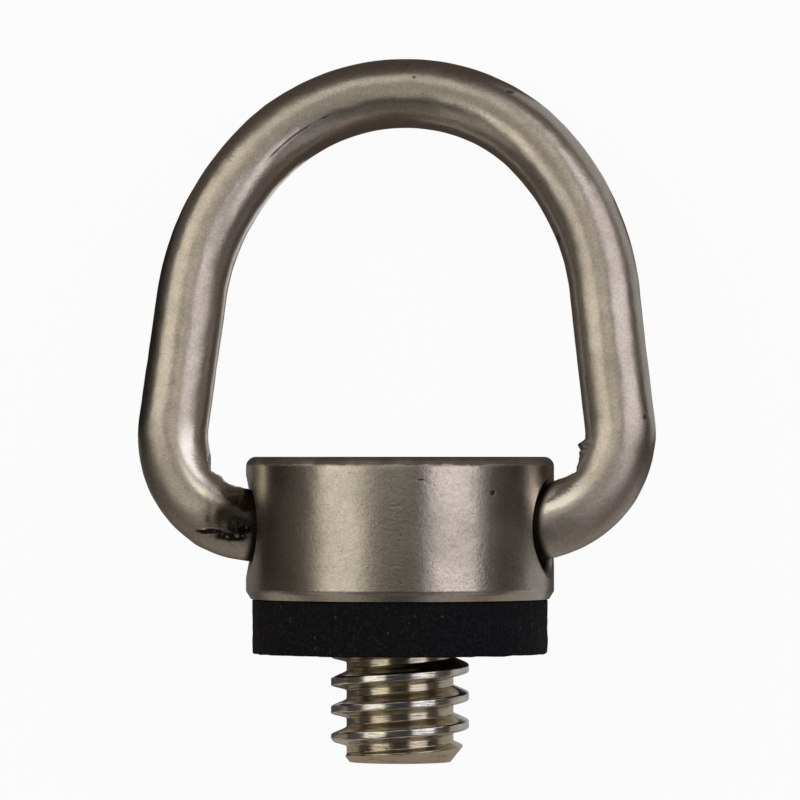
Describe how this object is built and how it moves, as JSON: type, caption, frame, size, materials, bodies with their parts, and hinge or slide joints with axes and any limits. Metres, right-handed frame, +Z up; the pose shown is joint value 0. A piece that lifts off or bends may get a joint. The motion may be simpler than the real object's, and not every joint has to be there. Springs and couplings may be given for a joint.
{
  "type": "tripod screw",
  "caption": "Camera tripod screw: a round turned head on a short threaded stud, with a rubber washer under it and a D-ring of round wire that swings in a cross-hole to take a strap.",
  "frame": {"origin": "on the screw's axis, in the plane of the washer's camera face, where the thread starts", "axes": "+Z up with the part lying on its side; the thread points to -Y, the ring lies towards +Y, and the ring's hinge runs along X"},
  "size_m": [0.0236, 0.0323, 0.014],
  "materials": {
    "satin_nickel": "satin nickel plate, brighter on the cut thread",
    "black_rubber": "matt, cut from sheet"
  },
  "bodies": {
    "head": {"screw": "satin_nickel", "rubber_washer": "black_rubber"},
    "ring": {"d_ring": "satin_nickel"}
  },
  "joints": [
    {"name": "ring_hinge", "type": "hinge", "parent": "head", "child": "ring", "pos_m": [0, 0.0058, 0.0011], "axis": [1, 0, 0], "continuous": true}
  ]
}
